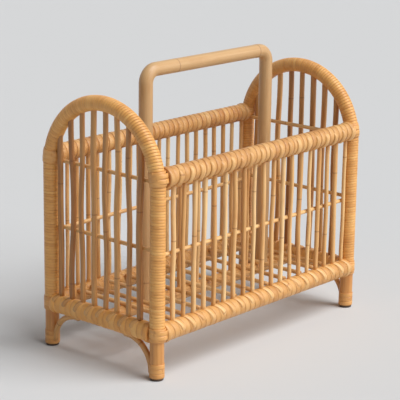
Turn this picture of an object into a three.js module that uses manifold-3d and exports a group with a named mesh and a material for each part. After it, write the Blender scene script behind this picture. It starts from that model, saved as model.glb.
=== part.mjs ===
// A magazine basket of bent rattan poles and round canes. Two arched end frames stand on four legs
// and carry wrapped rails. Spindles fill the four sides, thin canes are woven through them, and a
// handle frame stands on the floor grid and parts the inside into two compartments.
// Millimetres, +X along the length, +Y to the back, +Z up, origin on the floor under the middle.
import * as THREE from "three";
import { mergeVertices } from "three/addons/utils/BufferGeometryUtils.js";
import Module from "manifold-3d";

const wasm = await Module();
wasm.setup();

// Frame, between the centrelines of its poles
const frameLength = 400;
const frameDepth = 190;
const springHeight = 246;
const bottomRailHeight = 60;
const topRailRise = 14; // of the top rails over the height where the arches spring

// Poles
const postDiameter = 19;
const railDiameter = 18;
const handleDiameter = 18.4;
const crossbarDiameter = 14;
const railCopeShare = 0.2; // of a post's radius, that the long rails' hollowed ends reach round it

// Cane strip wound over the rails
const bindingThickness = 3.2;
const bindingPitch = 9.9;
const bindingWallShare = 0.3; // of its thickness, left under the grooves between two turns
const collarTurns = 1; // doubled turns that tie off each end
const collarRise = 1.6;

// Spindles of the four sides
const longSideSpindleCount = 19;
const longSideSpindleDiameter = 5.6;
const longSideLeftGap = 28; // from the left post's centreline to the first spindle
const longSideRightGap = 15.5;
const endSpindleCount = 8;
const endSpindleDiameter = 6.4;
const endFrontGap = 29.5; // from the front post's centreline to the first spindle
const endBackGap = 18.5;

// Thin canes woven through the spindles
const weaverDiameter = 3.4;
const weaverHeight = 164;
const topWeaverDrop = 4; // of the end frames' upper woven cane under the height of the top rails
const weaverBite = 0.8; // how deep the long sides' woven cane presses into their spindles

// Swellings of the arch poles where they are bound over the joints with the rails
const swellingHeight = 19;
const swellingRise = 3.6; // over the pole's own surface
const swellingEdge = 1.8; // the same at its upper and lower edges
const swellingCrownShare = 0.4; // of its height that stands out fully

// Braces in the corners under the end rails
const braceDiameter = 6;
const braceBendRadius = 40;
const braceScarf = 4; // how much is pared off each end to lie flat on the post or the rail
const braceReach = 53; // from the post's centreline to the brace's far end

// Handle frame and divider
const handleSpan = 244; // between the centrelines of its legs
const handleRise = 31.5; // of the grip's centreline over the tops of the arches' centrelines
const handleBendRadius = 17;
const crossbarHeight = 214;
const dividerSpindleCount = 6;

// Floor grid
const reedDiameter = 6;
const reedRise = 9; // of the reeds' centrelines over those of the bottom rails
const reedBite = 0.6; // how deep the reeds sit in the pole under them
const reedLegGap = 4; // between a leg of the handle frame and the reeds on each side of it

// Glides under the feet
const glideHeight = 3;
const glideInset = 1; // of the glide's rim from the foot's
const glideEdge = 0.6; // its bevel at the floor

const seatGap = 0.3; // clearance where one piece seats against another

// Facets: sides round a section and steps along a bend
const poleSides = 12;
const caneSides = 8;
const thinSides = 6;
const glideSides = 16;
const archSteps = 20;
const bendSteps = 6;
const leadTurns = 2; // wound past each end of a strip, before it is cut square

const postRadius = postDiameter / 2;
const swellingRadius = postRadius + swellingRise;
const railRadius = railDiameter / 2;
const handleRadius = handleDiameter / 2;
const reedRadius = reedDiameter / 2;
const longSideSpindleRadius = longSideSpindleDiameter / 2;
const bindingRadius = railRadius + bindingThickness;
const collarRadius = bindingRadius + collarRise;
const archRadius = frameDepth / 2;
const topRailHeight = springHeight + topRailRise;
const reedHeight = bottomRailHeight + reedRise;
const floorPoleHeight = reedHeight - reedRadius + reedBite - railRadius;
const postFoot = glideHeight + seatGap;

// A strip runs between the posts' swellings, on a long bottom rail between the end rails' strips.
const topBindingLength = frameLength - 2 * (swellingRadius + seatGap);
const bottomBindingLength = frameLength - 2 * (collarRadius + seatGap);
const endBindingLength = frameDepth - 2 * (swellingRadius + seatGap);

function caneMaterial(color, roughness) {
  return new THREE.MeshStandardMaterial({ color, roughness, metalness: 0 });
}

const poleMaterial = caneMaterial(0xc98e50, 0.5);
const bindingMaterial = caneMaterial(0xd9a566, 0.55);
const spindleMaterial = caneMaterial(0xcf9a60, 0.55);
const weaverMaterial = caneMaterial(0xe6c08a, 0.6);
const glideMaterial = caneMaterial(0x3b332c, 0.7);

const alongLength = new THREE.Vector3(1, 0, 0);
const alongDepth = new THREE.Vector3(0, 1, 0);
const upward = new THREE.Vector3(0, 0, 1);

// A path that steps exactly through its points, so that a straight run needs one step only.
class SteppedPath extends THREE.Curve {
  constructor(points) {
    super();
    this.points = points;
  }

  getPoint(share, target = new THREE.Vector3()) {
    const place = share * (this.points.length - 1);
    const before = Math.min(Math.floor(place), this.points.length - 2);
    return target.lerpVectors(this.points[before], this.points[before + 1], place - before);
  }

  getPointAt(share, target) {
    return this.getPoint(share, target);
  }

  getTangentAt(share, target = new THREE.Vector3()) {
    const at = Math.round(share * (this.points.length - 1));
    const next = this.points[Math.min(at + 1, this.points.length - 1)];
    const last = this.points[Math.max(at - 1, 0)];
    return target.subVectors(next, last).normalize();
  }
}

function roundSection(radius, sides) {
  const corners = [];
  for (let i = 0; i < sides; i++) {
    const angle = (2 * Math.PI * (i + 0.5)) / sides;
    corners.push(new THREE.Vector2(radius * Math.cos(angle), radius * Math.sin(angle)));
  }
  return new THREE.Shape(corners);
}

// A round pole or cane along a line of points.
function sweep(points, radius, sides) {
  return new THREE.ExtrudeGeometry(roundSection(radius, sides), {
    steps: points.length - 1,
    extrudePath: new SteppedPath(points),
    bevelEnabled: false,
  });
}

// Points round a bend: the arm from the centre swings from one direction towards another.
function bendPoints(centre, from, to, radius, angle, steps) {
  const points = [];
  for (let i = 0; i <= steps; i++) {
    const turned = (angle * i) / steps;
    const arm = from.clone().multiplyScalar(Math.cos(turned)).addScaledVector(to, Math.sin(turned));
    points.push(centre.clone().addScaledVector(arm, radius));
  }
  return points;
}

function solidOf(geometry) {
  const bare = geometry.clone();
  bare.deleteAttribute("normal");
  bare.deleteAttribute("uv");
  const merged = mergeVertices(bare);
  return new wasm.Manifold(
    new wasm.Mesh({
      numProp: 3,
      vertProperties: merged.getAttribute("position").array,
      triVerts: new Uint32Array(merged.index.array),
    }),
  );
}

function geometryOf(solid) {
  const mesh = solid.getMesh();
  const geometry = new THREE.BufferGeometry();
  geometry.setAttribute("position", new THREE.BufferAttribute(mesh.vertProperties, 3));
  geometry.setIndex(new THREE.BufferAttribute(mesh.triVerts, 1));
  geometry.computeVertexNormals();
  return geometry;
}

function addPiece(group, name, geometry, material) {
  const piece = new THREE.Mesh(geometry, material);
  piece.name = name;
  group.add(piece);
  return piece;
}

// End frame pole: up from the front foot, over the arch and down to the back foot.
function archPoints() {
  const spring = upward.clone().multiplyScalar(springHeight);
  const frontward = alongDepth.clone().negate();
  return [
    new THREE.Vector3(0, -archRadius, postFoot),
    ...bendPoints(spring, frontward, upward, archRadius, Math.PI, archSteps),
    new THREE.Vector3(0, archRadius, postFoot),
  ];
}

// The swelling round a post at a joint. Over the arch's springing it leans with the pole.
function swelling(side, height, clearance) {
  const lean = Math.asin(Math.max(height - springHeight, 0) / archRadius);
  const half = swellingHeight / 2 + clearance;
  const crown = half * swellingCrownShare;
  const edge = postRadius + swellingEdge + clearance;
  const rim = swellingRadius + clearance;
  const heart = postRadius / 2; // well inside the pole
  const profile = [
    new THREE.Vector2(heart, -half),
    new THREE.Vector2(edge, -half),
    new THREE.Vector2(rim, -crown),
    new THREE.Vector2(rim, crown),
    new THREE.Vector2(edge, half),
    new THREE.Vector2(heart, half),
    new THREE.Vector2(heart, -half),
  ];
  const ring = new THREE.LatheGeometry(profile, poleSides).rotateX(Math.PI / 2 + side * lean);
  return solidOf(ring.translate(0, side * archRadius * Math.cos(lean), height));
}

// The bent pole of an end frame with its swellings, or with a clearance round it.
function archSolid(clearance) {
  const pole = solidOf(sweep(archPoints(), postRadius + clearance, poleSides));
  return [-1, 1].reduce((bound, side) => {
    const lower = swelling(side, bottomRailHeight, clearance);
    const upper = swelling(side, topRailHeight, clearance);
    return bound.add(lower).add(upper);
  }, pole);
}

// The end frame pole with the seat clearance round it, which shapes the ends of what meets it.
function archCutter() {
  return archSolid(seatGap);
}

// A straight pole or cane through the middle of its own frame.
function straightPiece(direction, from, to, radius, sides) {
  const start = direction.clone().multiplyScalar(from);
  const end = direction.clone().multiplyScalar(to);
  return sweep([start, end], radius, sides);
}

// A rail's core along the depth of an end frame, or with the clearance round it.
function endRailCore(radius) {
  const rail = straightPiece(alongDepth, -archRadius, archRadius, radius, poleSides);
  return solidOf(rail).translate([0, 0, bottomRailHeight]);
}

function endRail() {
  return geometryOf(endRailCore(railRadius).subtract(archCutter()));
}

// A rail of a long side: its ends are hollowed to fit round the posts and clear the end rails.
function longRail(side, height) {
  const reach = frameLength / 2 - postRadius * (1 - railCopeShare);
  const rail = straightPiece(alongLength, -reach, reach, railRadius, poleSides);
  const core = solidOf(rail).translate([0, 0, height]);
  const frame = archCutter().add(endRailCore(railRadius + seatGap));
  const left = frame.translate([-frameLength / 2, -side * archRadius, 0]);
  const right = frame.translate([frameLength / 2, -side * archRadius, 0]);
  return geometryOf(core.subtract(left).subtract(right));
}

// The face of a wound strip along X, with a crest and a groove for each turn. A row of points climbs
// one pitch as it goes round, so the row two rows on starts where this one ends.
function woundFace(length) {
  const grooveRadius = railRadius + seatGap + bindingThickness * bindingWallShare;
  const flatsOut = 1 / Math.cos(Math.PI / caneSides);
  const collarStart = length / 2 - collarTurns * bindingPitch;
  const rows = 2 * (Math.ceil(length / bindingPitch) + leadTurns + 1);
  const lead = length / 2 + leadTurns * bindingPitch;

  const at = (row, column) => {
    if (column === caneSides) return at(row + 2, 0);
    const x = (bindingPitch * row) / 2 + (bindingPitch * column) / caneSides - lead;
    const crestRadius = Math.abs(x) > collarStart ? collarRadius : bindingRadius;
    const radius = row % 2 ? crestRadius : grooveRadius * flatsOut;
    const angle = (2 * Math.PI * column) / caneSides;
    return new THREE.Vector3(x, radius * Math.cos(angle), radius * Math.sin(angle));
  };

  const corners = [];
  for (let row = 0; row < rows; row++) {
    for (let column = 0; column < caneSides; column++) {
      const near = at(row, column);
      const far = at(row + 1, column + 1);
      corners.push(near, far, at(row + 1, column), near, at(row, column + 1), far);
    }
  }
  const leftTip = new THREE.Vector3(-lead - bindingPitch, 0, 0);
  const rightTip = new THREE.Vector3(lead + (leadTurns + 1) * bindingPitch, 0, 0);
  for (let column = 0; column < caneSides; column++) {
    corners.push(leftTip, at(0, column + 1), at(0, column));
    corners.push(rightTip, at(rows, column), at(rows, column + 1));
  }
  for (let row = 0; row < 2; row++) {
    corners.push(leftTip, at(row, 0), at(row + 1, 0));
    corners.push(rightTip, at(rows + row + 1, 0), at(rows + row, 0));
  }
  return new THREE.BufferGeometry().setFromPoints(corners);
}

// The wound strip as a sleeve: square at both ends, with a bore for the rail.
function binding(length) {
  const bore = (railRadius + seatGap) / Math.cos(Math.PI / poleSides);
  const outside = collarRadius + bindingPitch;
  const profile = [
    new THREE.Vector2(bore, -length / 2),
    new THREE.Vector2(outside, -length / 2),
    new THREE.Vector2(outside, length / 2),
    new THREE.Vector2(bore, length / 2),
    new THREE.Vector2(bore, -length / 2),
  ];
  const sleeve = new THREE.LatheGeometry(profile, poleSides).rotateZ(-Math.PI / 2);
  return geometryOf(solidOf(woundFace(length)).intersect(solidOf(sleeve)));
}

// How far the strip reaches out from its rail where a cane stands on it.
function bindingReach(place, halfWidth, length) {
  const collarStart = length / 2 - (collarTurns + 0.5) * bindingPitch;
  const reach = Math.abs(place) + halfWidth > collarStart ? collarRadius : bindingRadius;
  return reach + seatGap;
}

function evenStations(first, last, count) {
  return Array.from({ length: count }, (_, i) => first + ((last - first) * i) / (count - 1));
}

// A thin cane woven through a row of spindles. It passes them in turn on one side and on the other,
// and between two of them it runs straight, along the line that just clears both.
function weaverPoints(stations, halfLength, offset, along, across) {
  const pitch = stations[1] - stations[0];
  const halfRun = (pitch - Math.sqrt(pitch ** 2 - (2 * offset) ** 2)) / 2;
  const point = (place, side) => {
    return along.clone().multiplyScalar(place).addScaledVector(across, side * offset);
  };
  const points = [point(-halfLength, 1)];
  stations.forEach((place, i) => {
    const side = i % 2 ? -1 : 1;
    points.push(point(place - halfRun, side), point(place + halfRun, side));
  });
  points.push(point(halfLength, stations.length % 2 ? 1 : -1));
  return points;
}

// A long side's spindles and the cane woven through them, which holds them as one panel.
function longPanel() {
  const first = -frameLength / 2 + longSideLeftGap;
  const last = frameLength / 2 - longSideRightGap;
  const stations = evenStations(first, last, longSideSpindleCount);
  const offset = longSideSpindleRadius + weaverDiameter / 2 - weaverBite;
  const reach = frameLength / 2 - postRadius - seatGap;
  const route = weaverPoints(stations, reach, offset, alongLength, alongDepth);
  const weaver = sweep(route, weaverDiameter / 2, thinSides).translate(0, 0, weaverHeight);
  return stations.reduce((panel, place) => {
    const foot = bindingReach(place, longSideSpindleRadius, bottomBindingLength);
    const head = bindingReach(place, longSideSpindleRadius, topBindingLength);
    const from = bottomRailHeight + foot;
    const to = topRailHeight - head;
    const spindle = straightPiece(upward, from, to, longSideSpindleRadius, caneSides);
    return panel.add(solidOf(spindle.translate(place, 0, 0)));
  }, solidOf(weaver));
}

// Braces: thin bent canes with pared ends, one against a post and the other under the end rail.
function brace(side) {
  const inset = seatGap + braceDiameter / 2 - braceScarf;
  const upright = archRadius - postRadius - inset;
  const run = bottomRailHeight - bindingRadius - inset;
  const centre = new THREE.Vector3(0, side * (upright - braceBendRadius), run - braceBendRadius);
  const outward = alongDepth.clone().multiplyScalar(side);
  const route = [
    ...bendPoints(centre, outward, upward, braceBendRadius, Math.PI / 2, bendSteps),
    new THREE.Vector3(0, side * (archRadius - braceReach), run),
  ];
  const cane = solidOf(sweep(route, braceDiameter / 2, caneSides));
  const rail = endRailCore((bindingRadius + seatGap) / Math.cos(Math.PI / poleSides));
  return geometryOf(cane.subtract(archCutter()).subtract(rail));
}

function glide() {
  const rim = postRadius - glideInset;
  const profile = [
    new THREE.Vector2(0, 0),
    new THREE.Vector2(rim - glideEdge, 0),
    new THREE.Vector2(rim, glideEdge),
    new THREE.Vector2(rim, glideHeight),
    new THREE.Vector2(0, glideHeight),
  ];
  return new THREE.LatheGeometry(profile, glideSides).rotateX(Math.PI / 2);
}

// An end spindle stands on the end rail's strip, and its head is cut to the arch over it.
function endSpindle(place) {
  const radius = endSpindleDiameter / 2;
  const from = bottomRailHeight + bindingReach(place, radius, endBindingLength);
  const to = springHeight + Math.sqrt(archRadius ** 2 - place ** 2);
  const cane = straightPiece(upward, from, to, radius, caneSides).translate(0, place, 0);
  return geometryOf(solidOf(cane).subtract(archCutter()));
}

function endWeaver(stations, height) {
  const offset = (endSpindleDiameter + weaverDiameter) / 2 + seatGap;
  const route = weaverPoints(stations, archRadius, offset, alongDepth, alongLength);
  const cane = sweep(route, weaverDiameter / 2, thinSides).translate(0, 0, height);
  return geometryOf(solidOf(cane).subtract(archCutter()));
}

function addEndFrame(name, side) {
  const frame = new THREE.Group();
  frame.position.x = (side * frameLength) / 2;
  addPiece(frame, name + "_arch_pole", geometryOf(archSolid(0)), poleMaterial);
  addPiece(frame, name + "_bottom_rail", endRail(), poleMaterial);
  const strip = addPiece(frame, name + "_bottom_binding", binding(endBindingLength), bindingMaterial);
  strip.rotation.z = Math.PI / 2;
  strip.position.z = bottomRailHeight;

  const stations = evenStations(-archRadius + endFrontGap, archRadius - endBackGap, endSpindleCount);
  stations.forEach((place, i) => {
    addPiece(frame, name + "_spindle_" + (i + 1), endSpindle(place), spindleMaterial);
  });
  addPiece(frame, name + "_lower_weaver", endWeaver(stations, weaverHeight), weaverMaterial);
  const topWeaver = endWeaver(stations, topRailHeight - topWeaverDrop);
  addPiece(frame, name + "_upper_weaver", topWeaver, weaverMaterial);

  for (const [corner, place] of [["front", -1], ["back", 1]]) {
    addPiece(frame, corner + "_" + name + "_brace", brace(place), poleMaterial);
    const foot = addPiece(frame, corner + "_" + name + "_glide", glide(), glideMaterial);
    foot.position.y = place * archRadius;
  }
  return frame;
}

function addLongSide(name, side) {
  const wall = new THREE.Group();
  wall.position.y = side * archRadius;
  addPiece(wall, name + "_bottom_rail", longRail(side, bottomRailHeight), poleMaterial);
  addPiece(wall, name + "_top_rail", longRail(side, topRailHeight), poleMaterial);
  const lower = binding(bottomBindingLength);
  addPiece(wall, name + "_bottom_binding", lower, bindingMaterial).position.z = bottomRailHeight;
  const upper = binding(topBindingLength);
  addPiece(wall, name + "_top_binding", upper, bindingMaterial).position.z = topRailHeight;
  addPiece(wall, name + "_woven_panel", geometryOf(longPanel()), spindleMaterial);
  return wall;
}

// Where the floor reeds lie between the legs of the handle frame: one more than its spindles.
function middleReeds() {
  const half = handleSpan / 2 - handleRadius - reedLegGap - reedRadius;
  return evenStations(-half, half, dividerSpindleCount + 1);
}

// The pole under the floor, and the reeds across it that the magazines stand on. Beyond each leg of
// the handle frame lie two: one beside it, and one halfway from there to the end rail.
function floorGrid() {
  const reach = frameLength / 2 - bindingRadius - seatGap;
  const pole = straightPiece(alongLength, -reach, reach, railRadius, poleSides);
  const outer = handleSpan / 2 + handleRadius + reedLegGap + reedRadius;
  const outermost = (outer + reach - reedRadius) / 2;
  const places = [-outermost, -outer, ...middleReeds(), outer, outermost];
  return places.reduce((grid, place) => {
    const strip = bindingReach(place, reedRadius, bottomBindingLength);
    const half = archRadius - Math.sqrt(strip ** 2 - (reedRise - reedRadius) ** 2);
    const reed = straightPiece(alongDepth, -half, half, reedRadius, caneSides);
    return grid.add(solidOf(reed.translate(place, 0, reedHeight)));
  }, solidOf(pole.translate(0, 0, floorPoleHeight)));
}

// The handle frame's pole: up from the floor pole, along the grip and down again.
function handlePoints() {
  const grip = springHeight + archRadius + handleRise;
  const corner = handleSpan / 2 - handleBendRadius;
  const centre = new THREE.Vector3(-corner, 0, grip - handleBendRadius);
  const leftward = alongLength.clone().negate();
  const left = bendPoints(centre, leftward, upward, handleBendRadius, Math.PI / 2, bendSteps);
  const right = left.map((point) => new THREE.Vector3(-point.x, 0, point.z)).reverse();
  return [
    new THREE.Vector3(-handleSpan / 2, 0, floorPoleHeight),
    ...left,
    ...right,
    new THREE.Vector3(handleSpan / 2, 0, floorPoleHeight),
  ];
}

function handleFrame() {
  const reach = frameLength / 2;
  const floorPole = straightPiece(alongLength, -reach, reach, railRadius + seatGap, poleSides);
  const seat = solidOf(floorPole.translate(0, 0, floorPoleHeight));
  return geometryOf(solidOf(sweep(handlePoints(), handleRadius, poleSides)).subtract(seat));
}

function dividerCrossbar() {
  const reach = handleSpan / 2;
  const bar = straightPiece(alongLength, -reach, reach, crossbarDiameter / 2, poleSides);
  const legs = solidOf(sweep(handlePoints(), handleRadius + seatGap, poleSides));
  return geometryOf(solidOf(bar.translate(0, 0, crossbarHeight)).subtract(legs));
}

function addDivider() {
  const divider = new THREE.Group();
  addPiece(divider, "floor_grid", geometryOf(floorGrid()), spindleMaterial);
  addPiece(divider, "handle_frame", handleFrame(), poleMaterial);
  addPiece(divider, "divider_crossbar", dividerCrossbar(), poleMaterial);
  const from = floorPoleHeight + railRadius + seatGap;
  const to = crossbarHeight - crossbarDiameter / 2 - seatGap;
  const reeds = middleReeds();
  for (let i = 1; i < reeds.length; i++) {
    const cane = straightPiece(upward, from, to, longSideSpindleRadius, caneSides);
    const spindle = addPiece(divider, "divider_spindle_" + i, cane, spindleMaterial);
    spindle.position.x = (reeds[i - 1] + reeds[i]) / 2;
  }
  return divider;
}

const basket = new THREE.Group();
basket.add(addEndFrame("left", -1));
basket.add(addEndFrame("right", 1));
basket.add(addLongSide("front", -1));
basket.add(addLongSide("back", 1));
basket.add(addDivider());

export default basket;
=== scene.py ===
import math
import random

import bmesh
import bpy
from mathutils import Matrix, Vector, noise


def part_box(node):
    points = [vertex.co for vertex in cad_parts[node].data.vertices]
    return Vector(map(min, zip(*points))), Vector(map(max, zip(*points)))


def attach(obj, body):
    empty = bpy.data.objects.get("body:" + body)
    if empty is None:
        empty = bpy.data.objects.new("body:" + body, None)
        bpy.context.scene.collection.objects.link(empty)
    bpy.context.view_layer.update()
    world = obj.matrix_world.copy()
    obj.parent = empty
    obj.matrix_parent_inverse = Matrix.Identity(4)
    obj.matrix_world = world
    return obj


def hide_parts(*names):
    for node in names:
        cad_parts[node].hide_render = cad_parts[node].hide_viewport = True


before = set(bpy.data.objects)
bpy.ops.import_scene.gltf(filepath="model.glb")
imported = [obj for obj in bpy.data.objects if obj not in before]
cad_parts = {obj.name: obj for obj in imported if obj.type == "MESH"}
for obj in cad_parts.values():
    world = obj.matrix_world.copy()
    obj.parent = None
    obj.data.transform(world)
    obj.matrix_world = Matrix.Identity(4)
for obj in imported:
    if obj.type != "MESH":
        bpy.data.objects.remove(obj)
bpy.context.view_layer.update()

# Arch poles. Each end frame is one rattan pole, bent over a former into front leg, arch and back leg.
# The skin is left on below the bottom rail and shows the pole's fibres, blotches and growth rings.
maker = random.Random(11)
noise.seed_set(7)
pole_radius = 0.0092
pole_sides = 28
pole_step = 0.006
ring_spacing = 0.165
ring_width = 0.0022
ring_rise = 0.035
ring_dark = 0.5
solid_pole_radius = 0.0095
end_frame = (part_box("right_arch_pole")[0].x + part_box("right_arch_pole")[1].x) / 2
arch_radius = -(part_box("front_left_glide")[0].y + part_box("front_left_glide")[1].y) / 2
foot_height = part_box("left_arch_pole")[0].z
arch_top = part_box("left_arch_pole")[1].z - solid_pole_radius
spring = arch_top - arch_radius


def middle(node):
    """The middle of a CAD node's box."""
    low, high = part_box(node)
    return (low + high) / 2


def station(place, ahead, out):
    """Stands a flat section across a cane: its x towards out, its z along the cane."""
    turn = Matrix((out, ahead.cross(out), ahead)).transposed().to_4x4()
    return Matrix.Translation(place) @ turn


def stations_through(points):
    """Stations along a line of points, with no twist from one to the next."""
    ahead = (points[1] - points[0]).normalized()
    out = ahead.orthogonal().normalized()
    found = []
    for i, point in enumerate(points):
        onward = (points[min(i + 1, len(points) - 1)] - points[max(i - 1, 0)]).normalized()
        out = (ahead.rotation_difference(onward) @ out).normalized()
        ahead = onward
        found.append(station(point, ahead, out))
    return found


def new_work():
    """A mesh in the making, with a place along the grain and a tone for each of its points."""
    bm = bmesh.new()
    bm.verts.layers.float_vector.new("grain")
    bm.verts.layers.float.new("tone")
    return bm


def sweep(bm, face, stations, tone, start=0.0):
    """Draws a flat section, the last face made, out straight and then lays it through its stations."""
    grain = bm.verts.layers.float_vector["grain"]
    shade = bm.verts.layers.float["tone"]
    made_before = len(bm.verts) - len(face.verts)
    steps = len(stations) - 1
    near = set(face.verts)
    drawn = bmesh.ops.extrude_face_region(bm, geom=[face])["geom"]
    far = [part for part in drawn if isinstance(part, bmesh.types.BMVert)]
    bmesh.ops.translate(bm, vec=(0, 0, steps), verts=far)
    lengthwise = [edge for vert in far for edge in vert.link_edges if edge.other_vert(vert) in near]
    bmesh.ops.subdivide_edges(bm, edges=lengthwise, cuts=steps - 1)
    lengths = [start]
    for before, after in zip(stations, stations[1:]):
        lengths.append(lengths[-1] + (after.translation - before.translation).length)
    for vert in list(bm.verts)[made_before:]:
        step = round(vert.co.z)
        vert[grain] = (vert.co.x, vert.co.y, lengths[step])
        vert[shade] = tone
        vert.co = stations[step] @ Vector((vert.co.x, vert.co.y, 0))


def growth_ring(length):
    """How much a pole swells where a leaf once grew, at a length along its grain."""
    away = abs((length / ring_spacing) % 1 - 0.5) * ring_spacing
    return ring_rise * math.exp(-((away / ring_width) ** 2))


def round_cane(bm, points, radius, sides, tone, start=0.0):
    """A round pole or cane along a line of points, a little thicker at its growth rings."""
    made = bmesh.ops.create_circle(bm, cap_ends=True, radius=radius, segments=sides)
    stations = []
    length = start
    last = points[0]
    for place in stations_through(points):
        length += (place.translation - last).length
        last = place.translation.copy()
        swell = 1 + growth_ring(length)
        stations.append(place @ Matrix.Diagonal((swell, swell, 1, 1)))
    sweep(bm, made["verts"][0].link_faces[0], stations, tone, start)


def finish_piece(bm, name, material, slot, *nodes):
    """Makes the mesh an object of the basket, which stands for these CAD nodes."""
    bmesh.ops.recalc_face_normals(bm, faces=bm.faces)
    for face in bm.faces:
        face.smooth = len(face.verts) == 4
    mesh = bpy.data.meshes.new(name)
    bm.to_mesh(mesh)
    bm.free()
    mesh.materials.append(material)
    piece = bpy.data.objects.new(name, mesh)
    bpy.context.scene.collection.objects.link(piece)
    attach(piece, "root")
    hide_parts(*nodes)


class Nodes:
    """A material's node tree, with a short way to add and join its nodes."""

    def __init__(self, name):
        self.material = bpy.data.materials.new(name)
        self.material.use_nodes = True
        self.tree = self.material.node_tree
        self.shader = self.tree.nodes["Principled BSDF"]

    def add(self, kind, settings=None, **inputs):
        node = self.tree.nodes.new(kind)
        for key, value in (settings or {}).items():
            setattr(node, key, value)
        for key, value in inputs.items():
            self.set(node, key.replace("_", " "), value)
        return node

    def set(self, node, key, value):
        """Gives an input, called by its name or n and its number, a value or a node's output."""
        socket = node.inputs[int(key[1:])] if key[0] == "n" and key[1:].isdigit() else node.inputs[key]
        if isinstance(value, bpy.types.NodeSocket):
            self.tree.links.new(value, socket)
        else:
            socket.default_value = value

    def attribute(self, name, output):
        return self.add("ShaderNodeAttribute", {"attribute_name": name}).outputs[output]

    def math(self, operation, a, b=0.0, c=0.0):
        node = self.add("ShaderNodeMath", {"operation": operation}, n0=a, n1=b, n2=c)
        return node.outputs[0]

    def range(self, value, low, high, to_low=0.0, to_high=1.0):
        node = self.add("ShaderNodeMapRange", {"interpolation_type": "SMOOTHSTEP"})
        for number, given in enumerate((value, low, high, to_low, to_high)):
            self.set(node, "n%d" % number, given)
        return node.outputs[0]

    def noise(self, vector, scale, detail=2.0, roughness=0.5):
        stretched = self.add("ShaderNodeMapping", Vector=vector, Scale=scale).outputs[0]
        node = self.add(
            "ShaderNodeTexNoise", Vector=stretched, Scale=1.0, Detail=detail, Roughness=roughness
        )
        return node.outputs["Fac"]

    def ramp(self, value, *stops):
        node = self.add("ShaderNodeValToRGB", Fac=value)
        while len(node.color_ramp.elements) < len(stops):
            node.color_ramp.elements.new(1)
        for element, (place, color) in zip(node.color_ramp.elements, stops):
            element.position = place
            element.color = (*color, 1)
        return node.outputs[0]

    def mix(self, share, a, b, blend="MIX"):
        node = self.add("ShaderNodeMix", {"data_type": "RGBA", "blend_type": blend})
        for key, given in (("n0", share), ("n6", a), ("n7", b)):
            self.set(node, key, given)
        return node.outputs[2]

    def shine(self, color, roughness, bump, height, coat):
        bumped = self.add("ShaderNodeBump", Strength=bump, Distance=0.0004, Height=height)
        self.set(self.shader, "Base Color", color)
        self.set(self.shader, "Roughness", roughness)
        self.set(self.shader, "Normal", bumped.outputs[0])
        self.shader.inputs["Coat Weight"].default_value = coat
        self.shader.inputs["Coat Roughness"].default_value = 0.34
        self.shader.inputs["Specular IOR Level"].default_value = 0.55


def linear(red, green, blue):
    """A colour in the units of the shaders, from one as the eye reads it, each part up to 255."""
    return tuple(((part / 255 + 0.055) / 1.055) ** 2.4 for part in (red, green, blue))


def cane_skin(name, pale, middle_tone, deep, blotch, blotch_share):
    """Varnished rattan skin: fine fibres along the cane, wide blotches and dark growth rings."""
    nodes = Nodes(name)
    grain = nodes.attribute("grain", "Vector")
    tone = nodes.attribute("tone", "Fac")
    fibres = nodes.noise(grain, scale=(1500, 1500, 26), detail=4, roughness=0.62)
    streaks = nodes.noise(grain, scale=(330, 330, 9), detail=3)
    patches = nodes.noise(grain, scale=(70, 70, 17), detail=3, roughness=0.6)
    level = nodes.math("ADD", tone, nodes.range(streaks, 0.25, 0.75, to_low=-0.12, to_high=0.12))
    level = nodes.math("ADD", level, nodes.range(fibres, 0.3, 0.7, to_low=-0.1, to_high=0.1))
    color = nodes.ramp(level, (0.0, deep), (0.5, middle_tone), (1.0, pale))
    share = nodes.range(patches, 0.48, 0.72, to_high=blotch_share)
    color = nodes.mix(share, color, (*blotch, 1))
    along = nodes.add("ShaderNodeSeparateXYZ", Vector=grain).outputs[2]
    turn = nodes.math("FRACT", nodes.math("DIVIDE", along, ring_spacing))
    away = nodes.math("ABSOLUTE", nodes.math("SUBTRACT", turn, 0.5))
    ring = nodes.range(away, 0, 0.7 * ring_width / ring_spacing, to_low=ring_dark, to_high=0)
    color = nodes.mix(ring, color, (*deep, 1), "MULTIPLY")
    roughness = nodes.range(streaks, 0.3, 0.7, to_low=0.38, to_high=0.54)
    nodes.shine(color, roughness, bump=0.35, height=fibres, coat=0.26)
    return nodes.material


pole_skin = cane_skin(
    "Rattan pole skin", linear(230, 176, 104), linear(206, 142, 72), linear(156, 94, 38),
    linear(198, 118, 48), blotch_share=0.5
)


def arch_station(length):
    """Where the arch pole's centreline is, at a length from its front foot."""
    rise = spring - foot_height
    turn = min(max((length - rise) / arch_radius, 0), math.pi)
    out = Vector((0, -math.cos(turn), math.sin(turn)))
    ahead = Vector((0, math.sin(turn), math.cos(turn)))
    beyond = min(length - rise, 0) + max(length - rise - math.pi * arch_radius, 0)
    place = Vector((0, 0, spring)) + arch_radius * out + beyond * ahead
    return station(place, ahead, out)


arch_length = 2 * (spring - foot_height) + math.pi * arch_radius
arch_steps = round(arch_length / pole_step)
poles = new_work()
for side in (-1, 1):
    line = [arch_station(arch_length * i / arch_steps).translation for i in range(arch_steps + 1)]
    line = [point + Vector((side * end_frame, 0, 0)) for point in line]
    round_cane(poles, line, pole_radius, pole_sides, tone=0.5, start=0.4 * side)
finish_piece(poles, "arch_poles", pole_skin, "pole", "left_arch_pole", "right_arch_pole")

# Pole binding. From just under the bottom rail up, each arch pole is wound close with one strip of
# fine flat cane. No two turns have quite the same colour.
binding_pitch = 0.0037
binding_width = 0.00362
binding_thickness = 0.0008
binding_steps = 18
binding_start = 0.008
binding_loose = 0.0002
slow_wander = 0.31
quick_wander = 2.7
lift_share = 0.4
lean_angle = 0.08
end_sides = (("left", -1), ("right", 1))


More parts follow.
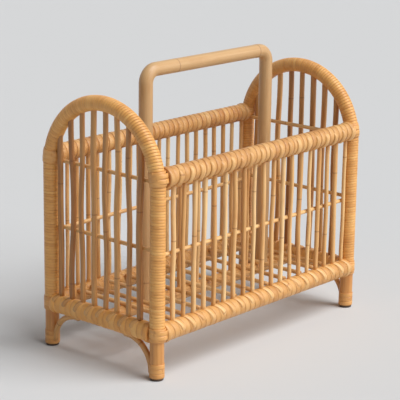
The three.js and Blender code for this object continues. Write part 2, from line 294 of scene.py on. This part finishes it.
def strip_section(bm, width, thickness, crown):
    """A flat strip's section: flat inside, and crowned outside by a share of its thickness."""
    half = width / 2
    edge = 1 - crown
    shoulder = 1 - 0.25 * crown
    corners = [(0, -1), (0, 1), (edge, 1), (shoulder, 0.6), (1, 0), (shoulder, -0.6), (edge, -1)]
    points = [bm.verts.new((rise * thickness, across * half, 0)) for rise, across in corners]
    return bm.faces.new(points)


def wind(bm, route, radius, width, thickness, pitch, start, end, hand=1, steps=24, loose=0.0, tone=0.5,
         crown=0.25, turn=0):
    """Winds a strip round a pole from one length to another, by a hand that wanders a little."""
    stations = []
    seed = maker.uniform(0, 500)
    for i in range(round((end - start) / pitch * steps) + 1):
        angle = hand * 2 * math.pi * (i / steps + turn)
        out = Vector((math.cos(angle), math.sin(angle), 0))
        travel = hand * Vector((-math.sin(angle), math.cos(angle), 0))
        travel = (travel + Vector((0, 0, pitch / (2 * math.pi * radius)))).normalized()
        wander = noise.noise_vector(Vector((seed, slow_wander * i / steps, quick_wander * i / steps)))
        length = start + pitch * i / steps + loose * wander.x
        strip = station(out * (radius + lift_share * loose * abs(wander.y)), travel, out)
        lean = Matrix.Rotation(lean_angle * wander.z, 4, "Z")
        stations.append(route(length) @ strip @ lean)
    sweep(bm, strip_section(bm, width, thickness, crown), stations, tone, maker.uniform(0, 9))


def wound_cane(name, half_width, turn_length, spread, groove_shade_depth, pale, middle_tone, deep, groove_shade):
    """Flat cane strip wound round a pole: fibres along it, each turn in its own tone, and painted shade
    darkening its edges where the turns meet.
    """
    nodes = Nodes(name)
    grain = nodes.attribute("grain", "Vector")
    tone = nodes.attribute("tone", "Fac")
    fibres = nodes.noise(grain, scale=(900, 1500, 22), detail=4, roughness=0.6)
    turns = nodes.noise(grain, scale=(1, 1, 0.9 / turn_length), detail=2, roughness=0.7)
    patches = nodes.noise(grain, scale=(1, 60, 3.1 / turn_length), detail=2, roughness=0.6)
    lengths = nodes.noise(grain, scale=(1, 1, 0.09 / turn_length), detail=2, roughness=0.6)
    level = nodes.math("ADD", tone, nodes.range(turns, 0.3, 0.7, to_low=-spread, to_high=spread))
    fine_spread = 0.6 * spread
    level = nodes.math(
        "ADD", level, nodes.range(patches, 0.3, 0.7, to_low=-fine_spread, to_high=fine_spread)
    )
    level = nodes.math("ADD", level, nodes.range(lengths, 0.35, 0.65, to_low=-0.14, to_high=0.14))
    level = nodes.math("ADD", level, nodes.range(fibres, 0.3, 0.7, to_low=-0.1, to_high=0.1))
    color = nodes.ramp(level, (0.0, deep), (0.5, middle_tone), (1.0, pale))
    across = nodes.add("ShaderNodeSeparateXYZ", Vector=grain).outputs[1]
    # Painted shade: the strip darkens towards both its edges, for the shade in the groove between
    # turns.
    groove_shade_mask = nodes.range(nodes.math("ABSOLUTE", across), 0.7 * half_width, half_width, to_high=groove_shade_depth)
    color = nodes.mix(groove_shade_mask, color, (*groove_shade, 1), "MULTIPLY")
    roughness = nodes.range(fibres, 0.3, 0.7, to_low=0.4, to_high=0.56)
    nodes.shine(color, roughness, bump=0.3, height=fibres, coat=0.24)
    return nodes.material


post_cane = wound_cane(
    "Fine binding cane", binding_width / 2, 2 * math.pi * pole_radius, spread=0.15, groove_shade_depth=0.25,
    pale=linear(244, 196, 118), middle_tone=linear(228, 165, 86), deep=linear(190, 124, 52),
    groove_shade=linear(192, 130, 66)
)


def arch_route(x):
    """The arch pole's route, from a length to its station, at a place along the basket."""
    shift = Matrix.Translation((x, 0, 0))
    return lambda length: shift @ arch_station(length)


bottom_rail = middle("front_bottom_binding").z
top_rail = middle("front_top_binding").z
low_end = bottom_rail - foot_height - binding_start
for name, side in end_sides:
    wound = new_work()
    wind(wound, arch_route(side * end_frame), pole_radius, binding_width, binding_thickness,
         binding_pitch, low_end, arch_length - low_end, hand=side, steps=binding_steps,
         loose=binding_loose)
    finish_piece(wound, name + "_pole_binding", post_cane, "binding")

# Wraps. Three turns of wider strip bind every foot. At each joint three more go round the post over
# its fine winding, and two over those, so that the joint stands out as a small round lump.
wrap_width = 0.0062
wrap_pitch = 0.006
wrap_thickness = 0.0014
foot_wrap_thickness = 0.0007
foot_wrap_start = 0.0031
first_wrap_shift = 0.0005
second_wrap_shift = 0.0021
wrap_creep = 0.0003
wrap_travel = 0.00034
wrap_loose = 0.0003
wrap_steps = 36
wrap_bite = 0.0001
wrapped_radius = pole_radius + binding_thickness + 2 * wrap_thickness
wrap_cane = wound_cane(
    "Wrapping cane", wrap_width / 2, 2 * math.pi * wrapped_radius, spread=0.14, groove_shade_depth=0.2,
    pale=linear(242, 194, 124), middle_tone=linear(224, 163, 90), deep=linear(192, 127, 58),
    groove_shade=linear(200, 140, 78)
)


def wrap_turns(bm, route, radius, thickness, first, count, tone, crown=0.3):
    """Separate turns of strip side by side, each pulled round once and a little further."""
    for i in range(count):
        start = first + i * wrap_pitch
        wind(bm, route, radius, wrap_width, thickness, wrap_creep, start, start + wrap_travel,
             steps=wrap_steps, loose=wrap_loose, tone=tone + maker.uniform(-0.05, 0.05),
             crown=crown, turn=maker.random())


low_joint = bottom_rail - foot_height
top_joint = spring - foot_height + arch_radius * math.asin((top_rail - spring) / arch_radius)
for name, side in end_sides:
    wraps = new_work()
    centred, first, second = [
        arch_route(side * (end_frame - shift)) for shift in (0, first_wrap_shift, second_wrap_shift)
    ]
    for joint in (low_joint, top_joint, arch_length - top_joint, arch_length - low_joint):
        base = pole_radius + binding_thickness - wrap_bite
        wrap_turns(wraps, first, base, wrap_thickness, joint - wrap_pitch, 3, tone=0.45)
        base += wrap_thickness - wrap_bite
        wrap_turns(wraps, second, base, wrap_thickness, joint - wrap_pitch / 2, 2, tone=0.55)
    for start in (foot_wrap_start, arch_length - foot_wrap_start - 2 * wrap_pitch):
        wrap_turns(wraps, centred, pole_radius, foot_wrap_thickness, start, 3, tone=0.4, crown=0.15)
    finish_piece(wraps, name + "_wraps", wrap_cane, "binding")

# Rail bindings. The rails are rattan poles between the posts. Each is wound with one cane strip over
# the ends of the spindles, smoother on the bottom rails than on the top ones, and a doubled turn ties
# the strip off at each post.
strip_pitch = 0.0099
strip_width = 0.98 * strip_pitch
strip_thickness = 0.0033
strip_loose = 0.0006
strip_middle = 0.0115
strip_turn = 2 * math.pi * strip_middle
rail_radius = 0.0091
wound_radius = rail_radius + strip_thickness
layer_bite = 0.0004
ring_creep = 0.0002
collar_width = 0.0075
collar_thickness = 0.0015
collar_creep = 0.0004
collar_travel = 0.0005
collar_loose = 0.0004
collar_crown = 0.5
top_rail_tuck = 0.003
bottom_rail_tuck = 0.0055
top_rail_end = wrapped_radius - top_rail_tuck
bottom_rail_end = wrapped_radius - bottom_rail_tuck
top_crown = 0.2
bottom_crown = 0.07
rail_steps = 26
long_sides = (("front", -1), ("back", 1))
top_cane = wound_cane(
    "Top rail cane", strip_width / 2, strip_turn, spread=0.28, groove_shade_depth=0.3,
    pale=linear(230, 184, 120), middle_tone=linear(208, 152, 86), deep=linear(176, 113, 50),
    groove_shade=linear(186, 122, 60)
)
bottom_cane = wound_cane(
    "Bottom rail cane", strip_width / 2, strip_turn, spread=0.2, groove_shade_depth=0.12,
    pale=linear(229, 183, 119), middle_tone=linear(211, 155, 87), deep=linear(180, 118, 54),
    groove_shade=linear(192, 130, 66)
)
# Painted light: the end rails' cane is lighter and more orange than the bottom rails', to lift their
# shaded sides.
end_rail_painted_light_cane = wound_cane(
    "End rail cane", strip_width / 2, strip_turn, spread=0.2, groove_shade_depth=0.12,
    pale=linear(242, 190, 114), middle_tone=linear(227, 161, 80), deep=linear(192, 122, 50),
    groove_shade=linear(198, 132, 62)
)


def rail_route(place, ahead):
    """A straight route with its length counted from the rail's middle."""
    out = Vector((0, 0, 1))
    return lambda length: station(place + ahead * length, ahead, out)


def wind_rail(name, place, ahead, reach, crown, hand, cane, tone):
    """Winds a rail from post to post with a crowned strip, and ties it off with a doubled turn."""
    wound = new_work()
    route = rail_route(place, ahead)
    half = strip_pitch / 2
    for way in (-1, 1):
        ring = way * (reach - half)
        wind(wound, route, rail_radius, strip_pitch, strip_thickness, ring_creep, ring,
             ring + ring_creep, hand, rail_steps, 0, tone, crown)
    wind(wound, route, rail_radius, strip_width, strip_thickness, strip_pitch, half - reach,
         reach - half, hand, rail_steps, strip_loose, tone, crown)
    for way in (-1, 1):
        start = way * (reach - collar_width / 2)
        wind(wound, route, wound_radius - layer_bite, collar_width, collar_thickness, collar_creep,
             start, start + collar_travel, hand, rail_steps, collar_loose, tone, collar_crown,
             maker.random())
    finish_piece(wound, name, cane, "binding", name)


for name, side in long_sides:
    wind_rail(name + "_bottom_binding", Vector((0, side * arch_radius, bottom_rail)), Vector((1, 0, 0)),
              end_frame - bottom_rail_end, bottom_crown, hand=1, cane=bottom_cane, tone=0.5)
    wind_rail(name + "_top_binding", Vector((0, side * arch_radius, top_rail)), Vector((1, 0, 0)),
              end_frame - top_rail_end, top_crown, hand=-1, cane=top_cane, tone=0.5)
# Painted light: the end rails are wound at a higher tone than the long rails.
for name, side in end_sides:
    wind_rail(name + "_bottom_binding", Vector((side * end_frame, 0, bottom_rail)), Vector((0, 1, 0)),
              arch_radius - bottom_rail_end, bottom_crown, hand=1, cane=end_rail_painted_light_cane, tone=0.6)
for rail in ("front_top", "front_bottom", "back_top", "back_bottom", "left_bottom", "right_bottom"):
    pole_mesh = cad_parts[rail + "_rail"].data
    pole_mesh.materials.clear()
    pole_mesh.materials.append(pole_skin)

# Spindles. Round canes of a pencil's thickness fill the four sides, cut by hand and none quite
# straight. Their flattened feet and heads are hooked round the outside of the rails' binding, or the
# heads are nailed into the arch.
spindle_radius = 0.003
end_spindle_radius = 0.0038
spindle_sides = 14
spindle_step = 0.009
spindle_crook = 0.0011
end_spindle_crook = 1.6 * spindle_crook
crook_pace = 2.3
palest_tone = 0.95
head_wander = 0.001
arch_head_drop = 0.002
end_frame_canes = 8
spindle_skin = cane_skin(
    "Spindle cane skin", linear(246, 209, 150), linear(221, 167, 100), linear(154, 99, 45),
    linear(198, 126, 58), blotch_share=0.45
)


def crooked(start, end, step, crook):
    """Points from start to end of a cane that isn't quite straight."""
    count = max(2, round((end - start).length / step))
    seed = maker.uniform(0, 500)
    points = []
    for i in range(count + 1):
        share = i / count
        slack = crook * 2 * math.sin(math.pi * share) ** 0.5
        bend = noise.noise_vector(Vector((seed, crook_pace * share, 0))) * slack
        points.append(start.lerp(end, share) + Vector((bend.x, bend.y, 0)))
    return points


def hand_tone(mean, spread=0.18):
    """The tone of one cane picked from a bundle."""
    return min(max(maker.gauss(mean, spread), 0), palest_tone)


foot_hook = (0.0074, 0.0018)
head_hook = (0.0088, 0.0024)
hook_steps = 14
hook_crown = 0.6
hook_lead = 0.1
hook_dive = 5


def hook(bm, size, foot, ahead, outside, start, end, travel, tone):
    """Lays a cane's flattened end round the outside of a wound rail, with both tips pressed in."""
    width, thickness = size
    stations = []
    lap = wound_radius - layer_bite
    for i in range(hook_steps + 1):
        share = i / hook_steps
        angle = math.radians(start + (end - start) * share)
        out = math.sin(angle) * outside + math.cos(angle) * Vector((0, 0, 1))
        turn = math.cos(angle) * outside - math.sin(angle) * Vector((0, 0, 1))
        onward = (turn * math.radians(end - start) * lap + travel * ahead).normalized()
        tuck = thickness * max(0, 1 - hook_dive * min(share, 1 - share))
        place = foot + travel * (share - hook_lead) * ahead + (lap - tuck) * out
        stations.append(station(place, onward, out))
    sweep(bm, strip_section(bm, width, thickness, hook_crown), stations, tone, maker.uniform(0, 9))


first_gap = 0.028
last_gap = 0.0155
long_side_canes = 19
long_pitch = (2 * end_frame - first_gap - last_gap) / (long_side_canes - 1)
long_places = [-end_frame + first_gap + long_pitch * i for i in range(long_side_canes)]
for name, side in long_sides:
    canes = new_work()
    outside = Vector((0, side, 0))
    along = Vector((1, 0, 0))
    for x in long_places:
        foot = Vector((x, side * arch_radius, bottom_rail + rail_radius))
        head = Vector((x + maker.gauss(0, head_wander), side * arch_radius, top_rail - rail_radius))
        points = crooked(foot, head, spindle_step, spindle_crook)
        tone = hand_tone(0.66)
        radius = spindle_radius * maker.uniform(0.9, 1.12)
        round_cane(canes, points, radius, spindle_sides, tone, maker.uniform(0, 3))
        foot.z, head.z = bottom_rail, top_rail
        hook(canes, foot_hook, foot, along, outside, start=-24, end=maker.uniform(84, 112),
             travel=maker.uniform(0.0095, 0.0125), tone=maker.uniform(0.42, 0.66))
        hook(canes, head_hook, head, along, outside, start=176, end=maker.uniform(20, 60),
             travel=maker.uniform(0.001, 0.004), tone=maker.uniform(0.35, 0.6))
    finish_piece(canes, name + "_spindles", spindle_skin, "spindle", name + "_woven_panel")
for name, side in end_sides:
    canes = new_work()
    nodes = ["%s_spindle_%d" % (name, i) for i in range(1, end_frame_canes + 1)]
    for node in nodes:
        y = middle(node).y
        foot = Vector((side * end_frame, y, bottom_rail + rail_radius))
        arch_height = spring + math.sqrt(arch_radius**2 - y**2)
        head = Vector((side * end_frame, y, arch_height - arch_head_drop))
        points = crooked(foot, head, spindle_step, end_spindle_crook)
        # Painted shade: the end frames' spindles and their hooks are given much darker tones than the
        # long sides', for the shade on the basket's ends.
        tone = hand_tone(0.22, 0.12)
        radius = end_spindle_radius * maker.uniform(0.88, 1.12)
        round_cane(canes, points, radius, spindle_sides, tone, maker.uniform(0, 3))
        foot.z = bottom_rail
        hook(canes, foot_hook, foot, Vector((0, 1, 0)), Vector((side, 0, 0)), start=-28,
             end=maker.uniform(72, 100), travel=-side * maker.uniform(0.006, 0.009),
             tone=maker.uniform(0.22, 0.42))
    finish_piece(canes, name + "_spindles", spindle_skin, "spindle", *nodes)

# Cross canes. One cane, a little thinner than the spindles, runs straight along the inner side of
# each row at about half height, nailed to them and to the posts. A second one holds the spindles of
# each end frame, about level with the top rails.
cross_radius = 0.0027
cross_sides = 14
cross_bite = 0.0009
cross_crook = 0.0003
cross_tuck = 0.001
long_cross_drop = 0.0055
end_cross_lift = 0.001
upper_cross_drop = 0.0025
long_cross_tone = 0.62
end_cross_tone = 0.55
cross_skin = cane_skin(
    "Cross cane skin", linear(246, 209, 150), linear(226, 176, 112), linear(170, 110, 54),
    linear(198, 134, 70), blotch_share=0.4
)
lower_cross = middle("left_lower_weaver").z + end_cross_lift
upper_cross = middle("left_upper_weaver").z - upper_cross_drop


def cross_cane(name, inside, ahead, reach, height, tone, *nodes):
    """A straight cane between two posts, at a place inside the spindles' plane."""
    cane = new_work()
    ends = [inside + way * reach * ahead + Vector((0, 0, height)) for way in (-1, 1)]
    points = crooked(*ends, spindle_step, cross_crook)
    round_cane(cane, points, cross_radius, cross_sides, tone, maker.uniform(0, 3))
    finish_piece(cane, name, cross_skin, "weaver", *nodes)


for name, side in long_sides:
    inset = spindle_radius + cross_radius - cross_bite
    cross_cane(name + "_cross_cane", Vector((0, side * (arch_radius - inset), 0)), Vector((1, 0, 0)),
               end_frame - pole_radius + cross_tuck, lower_cross - long_cross_drop, long_cross_tone)
for name, side in end_sides:
    inset = end_spindle_radius + cross_radius - cross_bite
    for level, height in (("lower", lower_cross), ("upper", upper_cross)):
        cross_cane(name + "_" + level + "_cross_cane", Vector((side * (end_frame - inset), 0, 0)),
                   Vector((0, 1, 0)), arch_radius - pole_radius + cross_tuck, height,
                   end_cross_tone, name + "_" + level + "_weaver")

# Braces. A thin cane bends from each leg to the end rail and keeps the two square. Its ends are pared
# to lie flat on them, and nailed.
brace_radius = 0.0038
brace_bend = 0.0408
brace_scarf = 0.0053
brace_shift = 0.0022
brace_sides = 14
brace_steps = 16
for name, side in end_sides:
    for corner, way in long_sides:
        node = corner + "_" + name + "_brace"
        low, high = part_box(node)
        near = arch_radius - pole_radius - brace_radius + brace_scarf
        run = bottom_rail - wound_radius - brace_radius + brace_scarf
        far = min(abs(low.y), abs(high.y))
        bend = [math.pi / 2 * i / brace_steps for i in range(brace_steps + 1)]
        points = [
            (near - brace_bend * (1 - math.cos(a)), run - brace_bend * (1 - math.sin(a))) for a in bend
        ]
        points.append((far, run))
        points = [Vector((side * (end_frame + brace_shift), way * y, z)) for y, z in points]
        cane = new_work()
        round_cane(cane, points, brace_radius, brace_sides, tone=0.4, start=maker.uniform(0, 3))
        finish_piece(cane, node, spindle_skin, "pole", node)

# Handle frame. A smooth pole stands on the floor pole at both ends and is bent over into the grip.
# A thinner crossbar and upright canes below it part the inside into two compartments.
handle_radius = 0.0092
handle_bend = 0.017
handle_sides = 28
crossbar_radius = 0.007
crossbar_step = 0.01
bend_steps = 12
post_steps = 40
grip_steps = 20
divider_canes = 6
handle_skin = cane_skin(
    "Handle pole skin", linear(214, 176, 126), linear(196, 153, 101), linear(160, 108, 56),
    linear(184, 132, 76), blotch_share=0.4
)
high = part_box("handle_frame")[1]
half_span = high.x - handle_radius
grip = high.z - handle_radius
floor_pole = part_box("floor_grid")[0].z + rail_radius
rise = grip - handle_bend - floor_pole
bend = [math.pi / 2 * i / bend_steps for i in range(bend_steps + 1)]
half_line = [(half_span, floor_pole + rise * i / post_steps) for i in range(post_steps)]
half_line += [
    (half_span - handle_bend * (1 - math.cos(a)), grip - handle_bend * (1 - math.sin(a))) for a in bend
]
half_line += [((half_span - handle_bend) * (1 - i / grip_steps), grip) for i in range(1, grip_steps)]
points = [Vector((-x, 0, z)) for x, z in half_line]
points += [Vector((x, 0, z)) for x, z in reversed(half_line)]
pole = new_work()
round_cane(pole, points, handle_radius, handle_sides, tone=0.62, start=0.05)
finish_piece(pole, "handle_frame", handle_skin, "pole", "handle_frame")

divider = new_work()
crossbar = middle("divider_crossbar").z
ends = [Vector((way * half_span, 0, crossbar)) for way in (-1, 1)]
points = crooked(*ends, crossbar_step, 0)
round_cane(divider, points, crossbar_radius, handle_sides, tone=0.5, start=0.3)
divider_nodes = ["divider_spindle_%d" % i for i in range(1, divider_canes + 1)]
for node in divider_nodes:
    x = middle(node).x
    points = crooked(Vector((x, 0, floor_pole)), Vector((x, 0, crossbar)), spindle_step, spindle_crook)
    round_cane(divider, points, spindle_radius, spindle_sides, hand_tone(0.6), maker.uniform(0, 3))
finish_piece(divider, "divider", spindle_skin, "spindle", "divider_crossbar", *divider_nodes)

# Floor grid. A pole runs under the floor from end rail to end rail, and canes laid across it from
# one bottom rail to the other carry what stands in the basket.
reed_radius = 0.003
reed_gap = 0.004
middle_reeds = 7
grid = new_work()
low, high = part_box("floor_grid")
reach = high.x
ends = [Vector((way * reach, 0, floor_pole)) for way in (-1, 1)]
points = crooked(*ends, crossbar_step, 0)
round_cane(grid, points, rail_radius, handle_sides, tone=0.4, start=0.9)
reed_height = high.z - reed_radius
leg = half_span + handle_radius + reed_gap + reed_radius
inner = half_span - handle_radius - reed_gap - reed_radius
outermost = (leg + reach - reed_radius) / 2
reed_places = [inner * (2 * i / (middle_reeds - 1) - 1) for i in range(middle_reeds)]
for x in [-outermost, -leg] + reed_places + [leg, outermost]:
    ends = (Vector((x, high.y, reed_height)), Vector((x, low.y, reed_height)))
    points = crooked(*ends, spindle_step, 0)
    round_cane(grid, points, reed_radius, spindle_sides, hand_tone(0.6), maker.uniform(0, 3))
finish_piece(grid, "floor_grid", spindle_skin, "spindle", "floor_grid")

# Glides. A thin dark disc of hard plastic, with its rims rounded, is nailed under each foot. It
# keeps the cane off the floor and lets the basket slide.
glide_radius = 0.0086
glide_bevel = 0.0006
glide_sides = 32
glide_plastic = Nodes("Glide plastic")
grain = glide_plastic.add("ShaderNodeTexCoord").outputs["Object"]
speckle = glide_plastic.noise(grain, scale=(900, 900, 900), detail=3)
color = glide_plastic.ramp(speckle, (0.3, linear(64, 48, 36)), (0.7, linear(90, 70, 54)))
glide_plastic.shine(color, roughness=0.6, bump=0.2, height=speckle, coat=0.0)
discs = bmesh.new()
glide_nodes = []
for name, side in end_sides:
    for corner, way in long_sides:
        node = corner + "_" + name + "_glide"
        low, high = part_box(node)
        place = Matrix.Translation((side * end_frame, way * arch_radius, (low.z + high.z) / 2))
        made = bmesh.ops.create_cone(
            discs, cap_ends=True, segments=glide_sides, radius1=glide_radius, radius2=glide_radius,
            depth=high.z - low.z, matrix=place
        )
        disc = set(made["verts"])
        rims = [
            edge for edge in discs.edges
            if edge.verts[0] in disc and abs(edge.verts[0].co.z - edge.verts[1].co.z) < glide_bevel
        ]
        bmesh.ops.bevel(
            discs, geom=rims, offset=glide_bevel, segments=2, profile=0.5, affect="EDGES", material=-1
        )
        glide_nodes.append(node)
finish_piece(discs, "glides", glide_plastic.material, "glide", *glide_nodes)

# Floor. A plain pale sheet lies under the basket, dull as paper, and is wide enough to fill the
# picture from every side.
floor_size = 14
floor_grey = linear(212, 213, 214)
floor_paint = bpy.data.materials.new("Pale floor")
floor_paint.use_nodes = True
floor_shader = floor_paint.node_tree.nodes["Principled BSDF"]
floor_shader.inputs["Base Color"].default_value = (*floor_grey, 1)
floor_shader.inputs["Roughness"].default_value = 0.9
floor_shader.inputs["Specular IOR Level"].default_value = 0.1
sheet = bmesh.new()
bmesh.ops.create_grid(sheet, x_segments=1, y_segments=1, size=floor_size)
floor_mesh = bpy.data.meshes.new("floor")
sheet.to_mesh(floor_mesh)
sheet.free()
floor_mesh.materials.append(floor_paint)
floor = bpy.data.objects.new("floor", floor_mesh)
bpy.context.scene.collection.objects.link(floor)

# Light and camera. A broad soft lamp hangs high in front and a weaker one stands low on the right,
# with plain light all round. The camera is a long lens at the photograph's angle.
fill_strength = 0.18
backdrop_strength = 0.7
lamps = (
    ("Key", 2.35, math.radians(40), Vector((0.14, -0.5, 0.9))),
    ("Side", 1.5, math.radians(50), Vector((0.4, -0.9, 0.42))),
)
world = bpy.data.worlds.new("Studio")
bpy.context.scene.world = world
world.use_nodes = True
sky = world.node_tree
fill = sky.nodes["Background"]
fill.inputs["Color"].default_value = (1, 1, 1, 1)
fill.inputs["Strength"].default_value = fill_strength
backdrop = sky.nodes.new("ShaderNodeBackground")
backdrop.inputs["Color"].default_value = (1, 1, 1, 1)
backdrop.inputs["Strength"].default_value = backdrop_strength
rays = sky.nodes.new("ShaderNodeLightPath")
seen = sky.nodes.new("ShaderNodeMath")
seen.operation = "MAXIMUM"
seen_clear = sky.nodes.new("ShaderNodeMath")
seen_clear.operation = "MAXIMUM"
either = sky.nodes.new("ShaderNodeMixShader")
sky.links.new(rays.outputs["Is Camera Ray"], seen.inputs[0])
sky.links.new(rays.outputs["Is Glossy Ray"], seen.inputs[1])
sky.links.new(seen.outputs[0], seen_clear.inputs[0])
sky.links.new(rays.outputs["Is Transmission Ray"], seen_clear.inputs[1])
sky.links.new(seen_clear.outputs[0], either.inputs[0])
sky.links.new(fill.outputs[0], either.inputs[1])
sky.links.new(backdrop.outputs[0], either.inputs[2])
sky.links.new(either.outputs[0], sky.nodes["World Output"].inputs[0])
for name, strength, softness, way in lamps:
    light = bpy.data.lights.new(name, "SUN")
    light.energy = strength
    light.angle = softness
    lamp = bpy.data.objects.new(name, light)
    lamp.rotation_euler = way.to_track_quat("Z", "Y").to_euler()
    bpy.context.scene.collection.objects.link(lamp)

view_azimuth = math.radians(-48.82)
view_elevation = math.radians(14.75)
view_roll = math.radians(0.80)
view_distance = 2.1368
view_target = Vector((-0.0134, 0, 0.1812))
picture_pixels = 400
focal_pixels = 1574.9
sensor_width = 36
back = Vector((
    math.sin(view_azimuth) * math.cos(view_elevation),
    -math.cos(view_azimuth) * math.cos(view_elevation),
    math.sin(view_elevation),
))
level_right = Vector((0, 0, 1)).cross(back).normalized()
level_up = back.cross(level_right)
right = math.cos(view_roll) * level_right + math.sin(view_roll) * level_up
up = back.cross(right)
lens = bpy.data.cameras.new("Camera")
lens.sensor_fit = "HORIZONTAL"
lens.sensor_width = sensor_width
lens.lens = sensor_width * focal_pixels / picture_pixels
lens.clip_end = 60
camera = bpy.data.objects.new("Camera", lens)
turned = Matrix((right, up, back)).transposed().to_4x4()
camera.matrix_world = Matrix.Translation(view_target + view_distance * back) @ turned
bpy.context.scene.collection.objects.link(camera)
bpy.context.scene.camera = camera
bpy.context.scene.view_settings.view_transform = "Standard"
